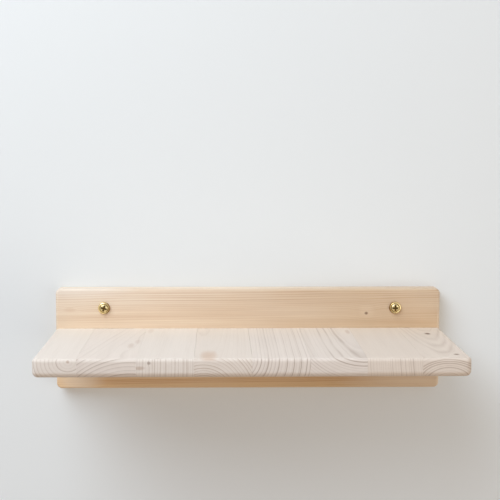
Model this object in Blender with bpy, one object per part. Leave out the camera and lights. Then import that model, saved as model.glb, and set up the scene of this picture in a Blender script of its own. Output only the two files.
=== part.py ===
"""Wall-mounted cat step: an edge-glued wooden shelf on a back board that is screwed to the wall.

The back board's rear face lies on the wall at Y = 0, with the origin at its middle. X runs along
the wall, Z is up and the shelf stands out towards -Y. Eight staves, glued edge to edge with their
grain running out from the wall, make the shelf. Four screws and four dowels join it to the board
from behind, and two screws in cup washers hold the board to the wall. Lengths are in metres.
"""

import math

import bmesh
import bpy
from mathutils import Vector

# Gap between pieces that touch, and the room round what sits in a drilled hole
SEAT_GAP = 0.0003
DRILL_CLEARANCE = 0.0003

# Shelf: the slab, and the widths of its staves from left to right as parts of the shelf's width
SHELF_WIDTH = 0.600
SHELF_DEPTH = 0.250
SHELF_THICKNESS = 0.0265
SHELF_TOP_ROUND = 0.0040
SHELF_BOTTOM_ROUND = 0.0065
SHELF_CORNER_ROUND = 0.0080
STAVE_PARTS = (60.5, 80.7, 78.9, 79.2, 80.0, 77.5, 76.0, 67.2)
STAVE_SHADE = 0.03

# Back board, and how far it stands above the shelf
BOARD_HEIGHT = 0.157
BOARD_THICKNESS = 0.026
BOARD_CORNER_ROUND = 0.0080
BOARD_EDGE_ROUND = 0.0035
BOARD_ABOVE_SHELF = 0.062

# Wall screws with raised countersunk heads. Their holes are marked out by hand, the left one further in
WALL_SCREW_INSETS = {"left": 0.0750, "right": 0.0705}
WALL_SCREW_BELOW_TOP = 0.030
WALL_SCREW_LENGTH = 0.080
WALL_SCREW_SHANK = 0.030
WALL_SCREW_RADIUS = 0.0030
WALL_SCREW_ROOT = 0.0020
WALL_SCREW_PITCH = 0.0042
WALL_SCREW_HEAD_RADIUS = 0.0060
WALL_SCREW_DOME = 0.0016
WALL_SCREW_RECESS = 0.0034

# Cup washers under the wall screws' heads
CUP_SHOWN = 0.0009
CUP_LIP = 0.0006
CUP_FLANK = 0.0019
CUP_EDGE = 0.0005
CUP_FLOOR = 0.0002

# Wall plugs round the wall screws, set just below the wall's surface
PLUG_SETBACK = 0.0030
PLUG_LENGTH = 0.050
PLUG_WALL = 0.0017
PLUG_RIM = 0.0020
PLUG_COLLAR = 0.0040
PLUG_RIB_PITCH = 0.0055
PLUG_RIB_SLOPE = 0.0018
PLUG_RIB_HEIGHT = 0.0007
PLUG_SLOT_START = 0.012
PLUG_SLOT_WIDTH = 0.0012

# Countersunk screws through the board into the shelf's end grain, and the staves they enter
SHELF_SCREW_LENGTH = 0.080
SHELF_SCREW_SHANK = 0.034
SHELF_SCREW_RADIUS = 0.0025
SHELF_SCREW_ROOT = 0.0016
SHELF_SCREW_PITCH = 0.0038
SHELF_SCREW_HEAD_RADIUS = 0.0048
SHELF_SCREW_SINK = 0.0008
SHELF_SCREW_RECESS = 0.0026
SCREWED_STAVES = (1, 3, 6, 8)

# Fluted dowels between the board and the shelf, and the staves they enter
DOWEL_RADIUS = 0.0040
DOWEL_IN_BOARD = 0.013
DOWEL_IN_SHELF = 0.022
DOWEL_CHAMFER = 0.0010
DOWEL_FLUTE = 0.0004
DOWELLED_STAVES = (2, 4, 5, 7)

# Every screw: the straight edge of its head, its recess as shares of the head's radius, the bare stretch
# before its thread as a share of the pitch, the thread's rows as (share of the pitch, share of the ridge),
# and its point as shares of thread width and root
HEAD_EDGE = 0.0003
RECESS_REACH = 0.58
RECESS_ARM = 0.11
RECESS_TAPER = 0.35
RECESS_FLOOR_ARM = 0.08
THREAD_RUN_IN = 0.25
THREAD_ROWS = ((0.00, 0), (0.28, 1), (0.56, 0))
POINT_LENGTH = 1.8
POINT_TIP = 0.14

# Facets, and how far a cutter runs past what it cuts
ROUND_STEPS = 6
HOLE_SIDES = 20
TURNED_SIDES = 24
THREAD_SIDES = 10
DOWEL_FLUTES = 12
OVERCUT = 0.001

# Places that follow from the sizes
STAVE_ENDS = [sum(STAVE_PARTS[:count]) for count in range(len(STAVE_PARTS) + 1)]
JOINTS_X = [SHELF_WIDTH * (end / STAVE_ENDS[-1] - 0.5) for end in STAVE_ENDS]
BOARD_TOP = BOARD_HEIGHT / 2
BOARD_FRONT = -BOARD_THICKNESS
SHELF_TOP = BOARD_TOP - BOARD_ABOVE_SHELF
SHELF_BOTTOM = SHELF_TOP - SHELF_THICKNESS
SHELF_MIDDLE = SHELF_TOP - SHELF_THICKNESS / 2
SHELF_REAR = BOARD_FRONT - SEAT_GAP
SHELF_FRONT = SHELF_REAR - SHELF_DEPTH
WALL_SCREW_Z = BOARD_TOP - WALL_SCREW_BELOW_TOP
WALL_SCREW_HOLE = WALL_SCREW_RADIUS + DRILL_CLEARANCE
SHELF_SCREW_HOLE = SHELF_SCREW_RADIUS + DRILL_CLEARANCE

# The cup's seat slopes at 45 degrees, as the screw's head does
CUP_MOUTH = WALL_SCREW_HEAD_RADIUS + CUP_SHOWN
CUP_HEIGHT = CUP_FLOOR + CUP_MOUTH - WALL_SCREW_HOLE
CUP_BASE = BOARD_FRONT - SEAT_GAP
HEAD_HEIGHT = CUP_HEIGHT - CUP_SHOWN + math.sqrt(2) * SEAT_GAP + HEAD_EDGE + WALL_SCREW_DOME

# Ways that the pieces point
TO_WALL = Vector((0, 1, 0))
TO_ROOM = Vector((0, -1, 0))


def material(name, colour, roughness, metallic=0.0):
    """A plain surface of one colour."""
    made = bpy.data.materials.new(name)
    made.use_nodes = True
    shader = made.node_tree.nodes["Principled BSDF"]
    shader.inputs["Base Color"].default_value = (*colour, 1.0)
    shader.inputs["Roughness"].default_value = roughness
    shader.inputs["Metallic"].default_value = metallic
    return made


def add_object(name, shape, surface=None, location=(0, 0, 0), towards=None):
    """An object from a bmesh. Where towards is given, the shape's +Z is turned to point that way."""
    bmesh.ops.recalc_face_normals(shape, faces=shape.faces)
    mesh = bpy.data.meshes.new(name)
    shape.to_mesh(mesh)
    shape.free()
    mesh.shade_smooth()
    mesh.set_sharp_from_angle(angle=math.radians(30))
    if surface:
        mesh.materials.append(surface)
    made = bpy.data.objects.new(name, mesh)
    made.location = location
    if towards:
        made.rotation_euler = towards.to_track_quat("Z", "Y").to_euler()
    bpy.context.scene.collection.objects.link(made)
    return made


def add_cutter(name, shape, location, towards):
    """A hidden helper whose shape is cut out of other pieces."""
    made = add_object(name, shape, None, location, towards)
    made.hide_render = True
    made.display_type = "WIRE"
    return made


def cut(piece, *cutters):
    """Takes each cutter's shape out of the piece."""
    for cutter in cutters:
        boolean = piece.modifiers.new("cut " + cutter.name, "BOOLEAN")
        boolean.operation = "DIFFERENCE"
        boolean.solver = "EXACT"
        boolean.object = cutter


def circle(radius, height, sides):
    """Points round +Z at one height."""
    turns = [2 * math.pi * side / sides for side in range(sides)]
    return [(radius * math.cos(turn), radius * math.sin(turn), height) for turn in turns]


def skin(shape, rings, first_cap=True, last_cap=True, joined=False):
    """Adds a surface over rings of equally many points, capped at its ends or joined end to end."""
    rows = [[shape.verts.new(point) for point in ring] for ring in rings]
    pairs = list(zip(rows, rows[1:]))
    if joined:
        pairs.append((rows[-1], rows[0]))
    for lower, upper in pairs:
        for side in range(len(lower)):
            after = (side + 1) % len(lower)
            shape.faces.new((lower[side], lower[after], upper[after], upper[side]))
    if first_cap and not joined:
        shape.faces.new(rows[0])
    if last_cap and not joined:
        shape.faces.new(rows[-1])


def turned(profile, sides, joined=False):
    """A lathe shape round +Z from (radius, height) pairs."""
    shape = bmesh.new()
    skin(shape, [circle(radius, height, sides) for radius, height in profile], joined=joined)
    return shape


def rod(radius, start, end):
    """A plain round cutter along +Z."""
    return turned([(radius, start), (radius, end)], HOLE_SIDES)


def quarter(start=0.0):
    """Angles of a quarter turn in equal steps."""
    return [start + math.pi / 2 * step / ROUND_STEPS for step in range(ROUND_STEPS + 1)]


def round_over(radius):
    """(inset, drop) pairs of a quarter round, from a flat face over to the side."""
    return [(radius * (1 - math.sin(turn)), radius * (1 - math.cos(turn))) for turn in quarter()]


def corner(centre_x, centre_y, radius, start):
    """Points of a quarter circle about a centre, anticlockwise from the start angle."""
    return [(centre_x + radius * math.cos(t), centre_y + radius * math.sin(t)) for t in quarter(start)]


def shelf_outline(inset, height):
    """The shelf's outline at one height: rounded at the two front corners, square at the board."""
    side = SHELF_WIDTH / 2 - inset
    front = SHELF_FRONT + inset
    bend = SHELF_CORNER_ROUND - inset
    outline = [(side, SHELF_REAR), (-side, SHELF_REAR)]
    outline += corner(-side + bend, front + bend, bend, math.pi)
    outline += corner(side - bend, front + bend, bend, 1.5 * math.pi)
    return [(x, y, height) for x, y in outline]


def shelf_slab():
    """The whole shelf with its edges rounded over, before it is parted into staves."""
    upper = [shelf_outline(inset, SHELF_TOP - drop) for inset, drop in round_over(SHELF_TOP_ROUND)]
    lower = [shelf_outline(inset, SHELF_BOTTOM + drop) for inset, drop in round_over(SHELF_BOTTOM_ROUND)]
    shape = bmesh.new()
    skin(shape, upper + lower[::-1])
    return shape


def parted(slab, left, right):
    """The stretch of the slab between two upright glue lines."""
    part = slab.copy()
    for x, outward in ((left, -1), (right, 1)):
        whole = part.verts[:] + part.edges[:] + part.faces[:]
        bmesh.ops.bisect_plane(
            part, geom=whole, plane_co=(x, 0, 0), plane_no=(outward, 0, 0), clear_outer=True
        )
        bmesh.ops.holes_fill(part, edges=[edge for edge in part.edges if edge.is_boundary])
    return part


def board_outline(inset, forward):
    """The back board's outline, rounded at its four corners, at one distance in front of the wall."""
    side = SHELF_WIDTH / 2 - inset
    top = BOARD_TOP - inset
    bend = BOARD_CORNER_ROUND - inset
    outline = corner(side - bend, top - bend, bend, 0)
    outline += corner(-side + bend, top - bend, bend, 0.5 * math.pi)
    outline += corner(-side + bend, -top + bend, bend, math.pi)
    outline += corner(side - bend, -top + bend, bend, 1.5 * math.pi)
    return [(x, -forward, z) for x, z in outline]


def board():
    """The back board: flat at the wall, rounded over all round its front face."""
    front = [board_outline(inset, BOARD_THICKNESS - drop) for inset, drop in round_over(BOARD_EDGE_ROUND)]
    shape = bmesh.new()
    skin(shape, front + [board_outline(0, 0)])
    return shape


def add_thread(shape, start, end, root, crest, pitch):
    """Adds a right-hand thread round +Z, open at its start, whose ridge fades out at both ends.

    The rows of one pitch climb with the turn: root, crest and root again. A row's end after a full
    turn is the start of the same row one pitch further up. Heights are held between start and end,
    so that each end is one plain circle.
    """
    count = len(THREAD_ROWS)
    rows = []
    for row in range(count * (math.ceil((end - start) / pitch) + 3)):
        offset, ridge = THREAD_ROWS[row % count]
        line = []
        for side in range(THREAD_SIDES):
            turn = side / THREAD_SIDES
            climb = start + pitch * (row // count - 1 + offset + turn)
            height = min(max(climb, start), end)
            fade = min(1, (height - start) / pitch, (end - height) / pitch)
            taper = min(1, POINT_TIP + (1 - POINT_TIP) * (end - height) / (2 * crest * POINT_LENGTH))
            radius = taper * (root + (crest - root) * ridge * fade)
            angle = 2 * math.pi * turn
            line.append(shape.verts.new((radius * math.cos(angle), radius * math.sin(angle), height)))
        rows.append(line)
    for row in range(len(rows) - count - 1):
        lower = rows[row] + rows[row + count][:1]
        upper = rows[row + 1] + rows[row + count + 1][:1]
        for side in range(THREAD_SIDES):
            shape.faces.new((lower[side], lower[side + 1], upper[side + 1], upper[side]))
    bmesh.ops.remove_doubles(shape, verts=shape.verts, dist=1e-6)
    tip = [edge for edge in shape.edges if edge.is_boundary and edge.verts[0].co.z > end - pitch]
    bmesh.ops.holes_fill(shape, edges=tip)


def screw(head, shank_end, length, root, crest, pitch):
    """A wood screw along +Z from its head's (radius, height) profile to its point, all one body."""
    shape = bmesh.new()
    add_thread(shape, shank_end, length, root, crest, pitch)
    shank = (root + crest) / 2
    profile = head + [(shank, head[-1][1] + head[-1][0] - shank), (shank, shank_end - pitch * THREAD_RUN_IN)]
    skin(shape, [circle(radius, height, TURNED_SIDES) for radius, height in profile], last_cap=False)
    bmesh.ops.bridge_loops(shape, edges=[edge for edge in shape.edges if edge.is_boundary])
    return shape


def raised_head(radius, dome):
    """Profile of a domed top and the short straight edge below it."""
    top = [(radius * math.sin(turn), dome * (1 - math.cos(turn))) for turn in quarter()[1:]]
    return top + [(radius, dome + HEAD_EDGE)]


def flat_head(radius):
    """Profile of a flat top and its short straight edge."""
    return [(radius, 0), (radius, HEAD_EDGE)]


def cross(reach, half_width, height):
    """A cross of four equal arms round +Z at one height."""
    points = []
    for arm in range(4):
        cos, sin = round(math.cos(math.pi / 2 * arm)), round(math.sin(math.pi / 2 * arm))
        for x, y in ((reach, -half_width), (reach, half_width), (half_width, half_width)):
            points.append((x * cos - y * sin, x * sin + y * cos, height))
    return points


def recess(head_radius, depth):
    """The cross recess in a head, drawn in towards its floor, as a cutter from the head's top."""
    reach, half_width = RECESS_REACH * head_radius, RECESS_ARM * head_radius
    shape = bmesh.new()
    floor = cross(reach * RECESS_TAPER, RECESS_FLOOR_ARM * head_radius, depth)
    skin(shape, [cross(reach, half_width, -OVERCUT), cross(reach, half_width, 0), floor])
    return shape


def cup():
    """A solid cup washer along +Z: a rounded flank, a narrow lip and a sloping seat for the head."""
    rim, rise = CUP_MOUTH + CUP_LIP, CUP_HEIGHT - CUP_EDGE
    flank = [(rim + CUP_FLANK * math.cos(turn), CUP_EDGE + rise * math.sin(turn)) for turn in quarter()]
    seat = [(CUP_MOUTH, CUP_HEIGHT), (WALL_SCREW_HOLE, CUP_FLOOR), (WALL_SCREW_HOLE, 0)]
    base = [(rim + CUP_FLANK, 0)]
    return turned(base + flank + seat, TURNED_SIDES, joined=True)


def plug():
    """A ribbed wall plug along +Z, open right through, with a collar at its mouth."""
    outer = WALL_SCREW_HOLE + PLUG_WALL
    ridge = outer + PLUG_RIB_HEIGHT
    profile = [(ridge, 0), (ridge, PLUG_RIM), (outer, PLUG_COLLAR)]
    for rib in range(1, int((PLUG_LENGTH - PLUG_COLLAR) / PLUG_RIB_PITCH)):
        height = PLUG_COLLAR + PLUG_RIB_PITCH * rib
        profile += [(ridge, height), (outer, height + PLUG_RIB_SLOPE)]
    profile += [(outer - PLUG_RIB_HEIGHT, PLUG_LENGTH), (WALL_SCREW_HOLE, PLUG_LENGTH), (WALL_SCREW_HOLE, 0)]
    return turned(profile, TURNED_SIDES, joined=True)


def slot():
    """A flat cutter that splits the plug from below its collar to its end."""
    reach = WALL_SCREW_HOLE + PLUG_WALL + PLUG_RIB_HEIGHT + OVERCUT
    half = PLUG_SLOT_WIDTH / 2
    sides = ((reach, -half), (reach, half), (-reach, half), (-reach, -half))
    shape = bmesh.new()
    ends = (PLUG_SLOT_START, PLUG_LENGTH + OVERCUT)
    skin(shape, [[(x, y, height) for x, y in sides] for height in ends])
    return shape


def fluted(depth, height):
    """A dowel's outline with its flutes at one height."""
    points = circle(1, height, 2 * DOWEL_FLUTES)
    radii = [DOWEL_RADIUS, DOWEL_RADIUS - depth] * DOWEL_FLUTES
    return [(x * radius, y * radius, z) for (x, y, z), radius in zip(points, radii)]


def dowel(length):
    """A fluted dowel along +Z with chamfered ends."""
    inner, outer = DOWEL_CHAMFER, length - DOWEL_CHAMFER
    end_radius = DOWEL_RADIUS - DOWEL_CHAMFER
    rings = [circle(end_radius, 0, 2 * DOWEL_FLUTES), fluted(DOWEL_FLUTE, inner)]
    rings += [fluted(DOWEL_FLUTE, outer), circle(end_radius, length, 2 * DOWEL_FLUTES)]
    shape = bmesh.new()
    skin(shape, rings)
    return shape


def make_shelf():
    """The staves, each short of its neighbour by the glue line, in slightly unlike pale wood."""
    slab = shelf_slab()
    staves = {}
    for number, (left, right) in enumerate(zip(JOINTS_X, JOINTS_X[1:]), start=1):
        first, last = number == 1, number == len(STAVE_PARTS)
        start = left - OVERCUT if first else left + SEAT_GAP / 2
        end = right + OVERCUT if last else right - SEAT_GAP / 2
        shade = 1 - STAVE_SHADE * (number % 3)
        pale = material(f"pale_spruce_{number}", (0.72 * shade, 0.62 * shade, 0.52 * shade), 0.6)
        staves[number] = add_object(f"shelf_stave_{number}", parted(slab, start, end), pale)
    slab.free()
    return staves


def make_board():
    """The back board, before it is drilled."""
    return add_object("back_board", board(), material("warm_pine", (0.66, 0.47, 0.29), 0.55))


def fix_shelf(back_board, staves):
    """The screws and dowels between the board and the shelf, each in its hole through both."""
    for count, number in enumerate(SCREWED_STAVES, start=1):
        place = ((JOINTS_X[number - 1] + JOINTS_X[number]) / 2, -SHELF_SCREW_SINK, SHELF_MIDDLE)
        steel = material(f"zinc_plated_steel_{count}", (0.55, 0.55, 0.56), 0.35, 1.0)
        shape = screw(
            flat_head(SHELF_SCREW_HEAD_RADIUS), SHELF_SCREW_SHANK, SHELF_SCREW_LENGTH,
            SHELF_SCREW_ROOT, SHELF_SCREW_RADIUS, SHELF_SCREW_PITCH,
        )
        made = add_object(f"shelf_screw_{count}", shape, steel, place, TO_ROOM)
        cross_cut = recess(SHELF_SCREW_HEAD_RADIUS, SHELF_SCREW_RECESS)
        cut(made, add_cutter(f"shelf_screw_recess_{count}", cross_cut, place, TO_ROOM))
        head_hole = SHELF_SCREW_HEAD_RADIUS + DRILL_CLEARANCE
        drill = turned(
            [
                (head_hole, -SHELF_SCREW_SINK - OVERCUT),
                (head_hole, HEAD_EDGE),
                (SHELF_SCREW_HOLE, HEAD_EDGE + head_hole - SHELF_SCREW_HOLE),
                (SHELF_SCREW_HOLE, SHELF_SCREW_LENGTH + DRILL_CLEARANCE),
            ],
            HOLE_SIDES,
        )
        hole = add_cutter(f"shelf_screw_drill_{count}", drill, place, TO_ROOM)
        cut(back_board, hole)
        cut(staves[number], hole)
    length = DOWEL_IN_BOARD + SEAT_GAP + DOWEL_IN_SHELF
    for count, number in enumerate(DOWELLED_STAVES, start=1):
        place = ((JOINTS_X[number - 1] + JOINTS_X[number]) / 2, BOARD_FRONT + DOWEL_IN_BOARD, SHELF_MIDDLE)
        beech = material(f"beech_{count}", (0.62, 0.45, 0.28), 0.6)
        add_object(f"dowel_{count}", dowel(length), beech, place, TO_ROOM)
        drill = rod(DOWEL_RADIUS + DRILL_CLEARANCE, -DRILL_CLEARANCE, length + DRILL_CLEARANCE)
        hole = add_cutter(f"dowel_drill_{count}", drill, place, TO_ROOM)
        cut(back_board, hole)
        cut(staves[number], hole)


def fix_board(back_board):
    """The screws, cup washers and plugs that hold the board to the wall."""
    for name, inset in WALL_SCREW_INSETS.items():
        x = (SHELF_WIDTH / 2 - inset) * (-1 if name == "left" else 1)
        seat = (x, CUP_BASE, WALL_SCREW_Z)
        brass = material(f"brass_cup_{name}", (0.72, 0.55, 0.26), 0.25, 1.0)
        add_object(f"cup_washer_{name}", cup(), brass, seat, TO_ROOM)
        top = (x, CUP_BASE - HEAD_HEIGHT, WALL_SCREW_Z)
        shape = screw(
            raised_head(WALL_SCREW_HEAD_RADIUS, WALL_SCREW_DOME), WALL_SCREW_SHANK, WALL_SCREW_LENGTH,
            WALL_SCREW_ROOT, WALL_SCREW_RADIUS, WALL_SCREW_PITCH,
        )
        yellow = material(f"brass_plated_screw_{name}", (0.70, 0.52, 0.24), 0.25, 1.0)
        made = add_object(f"wall_screw_{name}", shape, yellow, top, TO_WALL)
        cross_cut = recess(WALL_SCREW_HEAD_RADIUS, WALL_SCREW_RECESS)
        cut(made, add_cutter(f"wall_screw_recess_{name}", cross_cut, top, TO_WALL))
        drill = rod(WALL_SCREW_HOLE, -OVERCUT, BOARD_THICKNESS + OVERCUT)
        cut(back_board, add_cutter(f"wall_screw_drill_{name}", drill, seat, TO_WALL))
        mouth = (x, PLUG_SETBACK, WALL_SCREW_Z)
        nylon = material(f"grey_nylon_{name}", (0.45, 0.46, 0.47), 0.5)
        made = add_object(f"wall_plug_{name}", plug(), nylon, mouth, TO_WALL)
        cut(made, add_cutter(f"wall_plug_slot_{name}", slot(), mouth, TO_WALL))


for leftover in list(bpy.data.objects):
    bpy.data.objects.remove(leftover)

shelf_staves = make_shelf()
wall_board = make_board()
fix_shelf(wall_board, shelf_staves)
fix_board(wall_board)
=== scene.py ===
"""Looks of a wall-mounted pet step: a pale glued shelf of eight staves on a warm back board.

The wall is at Y = 0, X runs along it to the right, Z is up, and the shelf stands out towards -Y.
Lengths are in metres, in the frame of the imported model, unless a comment says millimetres. The
sections follow the order in which the step is put together, and each holds one piece, or a group
of like pieces, with its own finish.
"""

import math

import bmesh
import bpy
import numpy as np
from mathutils import Matrix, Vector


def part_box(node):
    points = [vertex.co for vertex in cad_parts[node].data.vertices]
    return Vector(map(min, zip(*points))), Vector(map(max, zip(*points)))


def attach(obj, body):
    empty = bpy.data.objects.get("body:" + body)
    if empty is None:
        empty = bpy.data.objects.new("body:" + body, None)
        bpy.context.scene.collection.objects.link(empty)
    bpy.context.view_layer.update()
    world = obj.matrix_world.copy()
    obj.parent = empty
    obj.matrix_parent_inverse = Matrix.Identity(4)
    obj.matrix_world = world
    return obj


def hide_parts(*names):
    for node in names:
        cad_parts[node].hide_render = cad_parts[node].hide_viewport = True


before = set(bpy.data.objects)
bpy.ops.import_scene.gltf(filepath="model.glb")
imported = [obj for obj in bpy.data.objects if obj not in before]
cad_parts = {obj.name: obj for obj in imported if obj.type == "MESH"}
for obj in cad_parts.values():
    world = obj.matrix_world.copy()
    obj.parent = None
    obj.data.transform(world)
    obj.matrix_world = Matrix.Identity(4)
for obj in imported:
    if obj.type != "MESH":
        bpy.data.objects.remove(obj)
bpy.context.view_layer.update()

# View. The camera stands in front of the shelf, a little left of its middle and above it. Its place,
# its turn and its lens are worked out from the edges of the shelf and the board in the photograph.
CAMERA_PLACE = (-0.04447, -1.89458, 0.32901)
CAMERA_DOWN = math.radians(5.795)
CAMERA_RIGHT = math.radians(1.428)
CAMERA_ROLL = math.radians(0.103)
LENS_MM = 87.05
SENSOR_MM = 36

lens = bpy.data.cameras.new("camera")
lens.sensor_width = SENSOR_MM
lens.lens = LENS_MM
camera = bpy.data.objects.new("camera", lens)
aim = Matrix.Rotation(-CAMERA_RIGHT, 4, "Z") @ Matrix.Rotation(math.pi / 2 - CAMERA_DOWN, 4, "X")
camera.matrix_world = Matrix.Translation(CAMERA_PLACE) @ aim @ Matrix.Rotation(CAMERA_ROLL, 4, "Z")
bpy.context.scene.collection.objects.link(camera)
bpy.context.scene.camera = camera
bpy.context.scene.view_settings.view_transform = "Standard"

# Shelf staves. Eight strips of pale spruce, glued edge to edge with their grain running out from the
# wall, so that the front edge shows end grain. The slab is sanded, washed pale, rounded over along
# its top and more along its bottom, and its two front corners are rounded.
MM = 0.001
TOP_ROUND = 0.0052
BOTTOM_ROUND = 0.0078
CORNER_ROUND = 0.0080
# At a glued joint, how far the staves' edges are eased, and half the joint's width
GLUE_EASE = 0.00006
GLUE_LINE = 0.00003
ROUND_STEPS = 10
CORNER_STEPS = 14
SIDE_STEPS = 24
MERGE_DISTANCE = 1e-7
# How far each stave lies above its box, and its front edge behind it, in millimetres
STAVE_LIFTS = (-0.01, -0.02, 0.00, 0.00, -0.02, 0.03, -0.01, 0.01)
STAVE_REACHES = (0.00, 0.06, -0.05, 0.04, 0.00, 0.07, -0.04, 0.05)


def closed_skin(rings, loop=False):
    """Points and quads of a closed surface over rings[row, point, xyz].

    Each point makes a quad with its neighbour and the two points below them. Where the rows are a
    stack, a ladder of quads between the two halves of the first and of the last ring closes its
    ends. Where they are a loop, the first ring follows the last.
    """
    rows, count = rings.shape[:2]
    here = np.arange(rows * count).reshape(rows, count)
    beside = np.roll(here, -1, axis=1)
    if loop:
        quads = np.stack([here, beside, np.roll(beside, -1, axis=0), np.roll(here, -1, axis=0)], axis=-1)
        return rings.reshape(-1, 3), quads.reshape(-1, 4)
    quads = np.stack([here[:-1], beside[:-1], beside[1:], here[1:]], axis=-1).reshape(-1, 4)
    step = np.arange(count // 2 - 1)
    rung = np.stack([step, step + 1, count - 2 - step, count - 1 - step], axis=-1)
    return rings.reshape(-1, 3), np.concatenate([quads, here[0][rung][:, ::-1], here[-1][rung]])


def piece(name, points, quads, finish, sharp=30, merge=False):
    """An object at the origin from points and quads, its faces turned outwards.

    Edges sharper than so many degrees stay sharp. Where points are to be merged, the holes that are
    left after it are filled.
    """
    mesh = bpy.data.meshes.new(name)
    mesh.from_pydata(points.tolist(), [], quads.tolist())
    shape = bmesh.new()
    shape.from_mesh(mesh)
    if merge:
        bmesh.ops.remove_doubles(shape, verts=shape.verts, dist=MERGE_DISTANCE)
        bmesh.ops.holes_fill(shape, edges=[edge for edge in shape.edges if edge.is_boundary])
    bmesh.ops.recalc_face_normals(shape, faces=shape.faces)
    shape.to_mesh(mesh)
    shape.free()
    mesh.shade_smooth()
    mesh.set_sharp_from_angle(angle=math.radians(sharp))
    mesh.materials.append(finish)
    made = bpy.data.objects.new(name, mesh)
    bpy.context.scene.collection.objects.link(made)
    return made


def bored(made, cutters, sharp=30):
    """Cuts closed shapes, each points and quads, out of a piece, and keeps only the result."""
    helpers = []
    for points, quads in cutters:
        helper = piece("cutter", points, quads, made.data.materials[0])
        boolean = made.modifiers.new("bore", "BOOLEAN")
        boolean.operation = "DIFFERENCE"
        boolean.solver = "EXACT"
        boolean.object = helper
        helpers.append(helper)
    bpy.context.view_layer.update()
    whole = made.data
    seen = made.evaluated_get(bpy.context.evaluated_depsgraph_get())
    result = bpy.data.meshes.new_from_object(seen)
    made.modifiers.clear()
    made.data = result
    result.name = made.name
    bpy.data.meshes.remove(whole)
    for helper in helpers:
        shape = helper.data
        bpy.data.objects.remove(helper)
        bpy.data.meshes.remove(shape)
    result.set_sharp_from_angle(angle=math.radians(sharp))


def turned(profile, sides, place, forward=1):
    """Rings of a lathe shape about an axis along Y.

    Each (radius, height) pair becomes a circle about the axis, that far along it from the place:
    towards the wall if forward is 1, and towards the room if it is -1.
    """
    radius, height = np.array(profile, float).T[:, :, None]
    turn = 2 * np.pi * np.arange(sides) / sides
    x, y, z = place
    return np.stack(
        [x + radius * np.cos(turn), y + forward * height + 0 * turn, z + radius * np.sin(turn)], axis=-1
    )


def stave_rings(left, right, front, rear, top, bottom, left_end, right_end):
    """Rings of a stave from its top down.

    Over a quarter turn t, the top's edge draws in by round * (1 - sin t) and drops by
    round * (1 - cos t), and the bottom's edge mirrors it. Each ring is a rectangle with a quarter
    circle at each corner, and only the slab's own edges draw in by more than a trace.
    """
    turn = np.linspace(0, np.pi / 2, ROUND_STEPS + 1)
    inward, drop = 1 - np.sin(turn), 1 - np.cos(turn)
    inset = np.concatenate([TOP_ROUND * inward, BOTTOM_ROUND * inward[::-1]])[:, None]
    trace = np.concatenate([GLUE_EASE * inward, GLUE_EASE * inward[::-1]])[:, None]
    height = np.concatenate([top - TOP_ROUND * drop, bottom + BOTTOM_ROUND * drop[::-1]])[:, None]
    side = {-1: left + (inset if left_end else trace), 1: right - (inset if right_end else trace)}
    bend = {
        -1: CORNER_ROUND - inset if left_end else GLUE_EASE + trace,
        1: CORNER_ROUND - inset if right_end else GLUE_EASE + trace,
    }
    arc = np.linspace(0, np.pi / 2, CORNER_STEPS + 1)[None, :]
    run = np.linspace(0, 1, SIDE_STEPS + 2)[None, 1:-1]
    halves = []
    for way in (-1, 1):
        rear_x = side[way] - way * GLUE_EASE * (1 - np.sin(arc))
        rear_y = rear - GLUE_EASE * (1 - np.cos(arc)) + 0 * trace
        front_x = side[way] - way * bend[way] * (1 - np.cos(arc))
        front_y = front + inset + bend[way] * (1 - np.sin(arc))
        side_y = rear_y[:, -1:] + (front_y[:, :1] - rear_y[:, -1:]) * run
        x = np.concatenate([rear_x, side[way] + 0 * run, front_x], axis=1)
        y = np.concatenate([rear_y, side_y, front_y], axis=1)
        halves.append(np.stack([x, y, height + 0 * x], axis=-1))
    return np.concatenate([halves[0], halves[1][:, ::-1]], axis=1)


def paint(red, green, blue):
    """A colour as screens show it, from 0 to 255, turned into light for a shader."""
    share = np.array([red, green, blue]) / 255
    light = np.where(share <= 0.04045, share / 12.92, ((share + 0.055) / 1.055) ** 2.4)
    return (*light.tolist(), 1.0)


def maths(tree, operation, *inputs):
    """One sum on numbers or on other nodes' outputs."""
    node = tree.nodes.new("ShaderNodeMath")
    node.operation = operation
    for socket, given in zip(node.inputs, inputs):
        if isinstance(given, (int, float)):
            socket.default_value = given
        else:
            tree.links.new(given, socket)
    return node.outputs[0]


def scaled(tree, vector, scale, shift):
    """A vector times a scale, plus a shift, axis by axis."""
    node = tree.nodes.new("ShaderNodeVectorMath")
    node.operation = "MULTIPLY_ADD"
    tree.links.new(vector, node.inputs[0])
    node.inputs[1].default_value = scale
    node.inputs[2].default_value = shift
    return node.outputs[0]


def span(tree, vector):
    """A vector's length."""
    node = tree.nodes.new("ShaderNodeVectorMath")
    node.operation = "LENGTH"
    tree.links.new(vector, node.inputs[0])
    return node.outputs["Value"]


def cloud(tree, vector, scale, seed, detail=2.0):
    """Soft noise from about -0.5 to 0.5, with its own number of waves per metre along each axis.

    Its seed shifts it along all three axes, so that no two are alike.
    """
    node = tree.nodes.new("ShaderNodeTexNoise")
    node.inputs["Scale"].default_value = 1
    node.inputs["Detail"].default_value = detail
    tree.links.new(scaled(tree, vector, scale, (seed, 2.3 * seed, 5.7 * seed)), node.inputs["Vector"])
    return maths(tree, "SUBTRACT", node.outputs[0], 0.5)


def ramp(tree, value, stops):
    """A curve through (place, height) stops, with straight stretches between them."""
    node = tree.nodes.new("ShaderNodeValToRGB")
    tree.links.new(value, node.inputs[0])
    bar = node.color_ramp
    while len(bar.elements) < len(stops):
        bar.elements.new(0.5)
    for element, (place, height) in zip(bar.elements, stops):
        element.position = place
        element.color = (height, height, height, 1)
    return node.outputs[0]


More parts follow.
